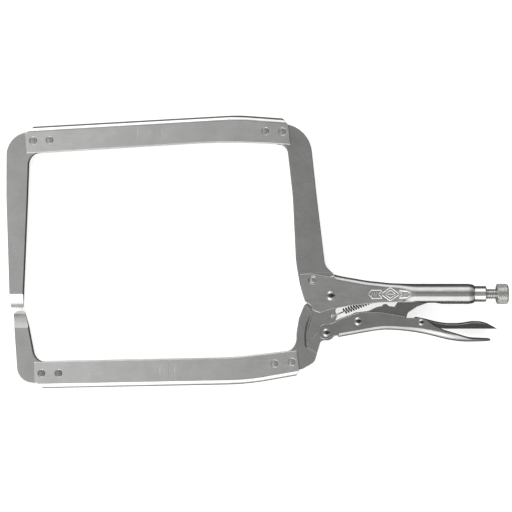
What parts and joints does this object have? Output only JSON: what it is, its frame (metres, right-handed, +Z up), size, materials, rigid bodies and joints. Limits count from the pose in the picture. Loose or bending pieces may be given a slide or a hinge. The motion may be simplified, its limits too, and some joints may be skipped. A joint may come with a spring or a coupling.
{
  "type": "locking c-clamp pliers",
  "caption": "Long-throat locking C-clamp pliers with channel beams, forged jaw arms, over-centre lever, release lever and knurled adjusting screw.",
  "frame": {"origin": "bottom centre of the bounding box, with the tool lying on its side", "axes": "+X from the jaw tips towards the adjusting knob, +Y from the moving jaw towards the fixed jaw, +Z up across the tool's thickness"},
  "size_m": [0.4566, 0.2482, 0.0185],
  "materials": {
    "forged_arms": "satin nickel over forged steel",
    "beam_sheet": "satin nickel over folded sheet",
    "handle_sheet": "satin nickel over formed sheet",
    "lever_sheet": "satin nickel over formed sheet",
    "rivet_steel": "smooth bright",
    "screw_steel": "dark satin",
    "spring_wire": "satin wire"
  },
  "bodies": {
    "fixed_frame": {"upper_front_arm": "forged_arms", "upper_beam": "beam_sheet", "upper_rear_arm": "forged_arms", "upper_front_rivet_1": "rivet_steel", "upper_front_rivet_2": "rivet_steel", "upper_rear_rivet_1": "rivet_steel", "upper_rear_rivet_2": "rivet_steel", "handle_body": "handle_sheet", "handle_front_rivet": "rivet_steel", "main_pivot_rivet": "rivet_steel", "screw_sleeve": "screw_steel", "jaw_spring": "spring_wire"},
    "moving_jaw": {"lower_front_arm": "forged_arms", "lower_beam": "beam_sheet", "lower_rear_arm": "forged_arms", "lower_front_rivet_1": "rivet_steel", "lower_front_rivet_2": "rivet_steel", "lower_rear_rivet_1": "rivet_steel", "lower_rear_rivet_2": "rivet_steel"},
    "lever": {"lever": "lever_sheet", "lever_pivot_rivet": "rivet_steel", "link_pivot_rivet": "rivet_steel", "release_pivot_rivet": "rivet_steel"},
    "toggle_link": {"toggle_link": "forged_arms"},
    "release_lever": {"release_lever": "lever_sheet"},
    "adjusting_screw": {"adjusting_screw": "screw_steel"},
    "screw_knob": {"screw_knob": "screw_steel"}
  },
  "joints": [
    {"name": "jaw_hinge", "type": "hinge", "parent": "fixed_frame", "child": "moving_jaw", "pos_m": [0.06655, -0.03983, 0.00925], "axis": [0, 0, 1], "range_deg": [0, 24], "deforming": ["jaw_spring"]},
    {"name": "lever_hinge", "type": "hinge", "parent": "moving_jaw", "child": "lever", "pos_m": [0.06255, -0.07343, 0.00925], "axis": [0, 0, 1], "range_deg": [-68.5, 0]},
    {"name": "link_hinge", "type": "hinge", "parent": "lever", "child": "toggle_link", "pos_m": [0.09135, -0.06313, 0.00925], "axis": [0, 0, 1], "range_deg": [0, 66.6]},
    {"name": "release_hinge", "type": "hinge", "parent": "lever", "child": "release_lever", "pos_m": [0.14895, -0.06403, 0.00925], "axis": [0, 0, 1], "range_deg": [-7, 0]},
    {"name": "screw_feed", "type": "slide", "parent": "fixed_frame", "child": "adjusting_screw", "axis": [1, 0, 0], "range_m": [0, 0.0286]},
    {"name": "knob_turn", "type": "hinge", "parent": "adjusting_screw", "child": "screw_knob", "pos_m": [0.21775, -0.03833, 0.00925], "axis": [1, 0, 0], "range_deg": [0, 6500]}
  ],
  "couplings": [
    {"joint": "lever_hinge", "follows": "jaw_hinge", "ratio": -2.85},
    {"joint": "link_hinge", "follows": "jaw_hinge", "ratio": 2.77},
    {"joint": "knob_turn", "follows": "screw_feed", "rad_per_m": 3957.9}
  ]
}
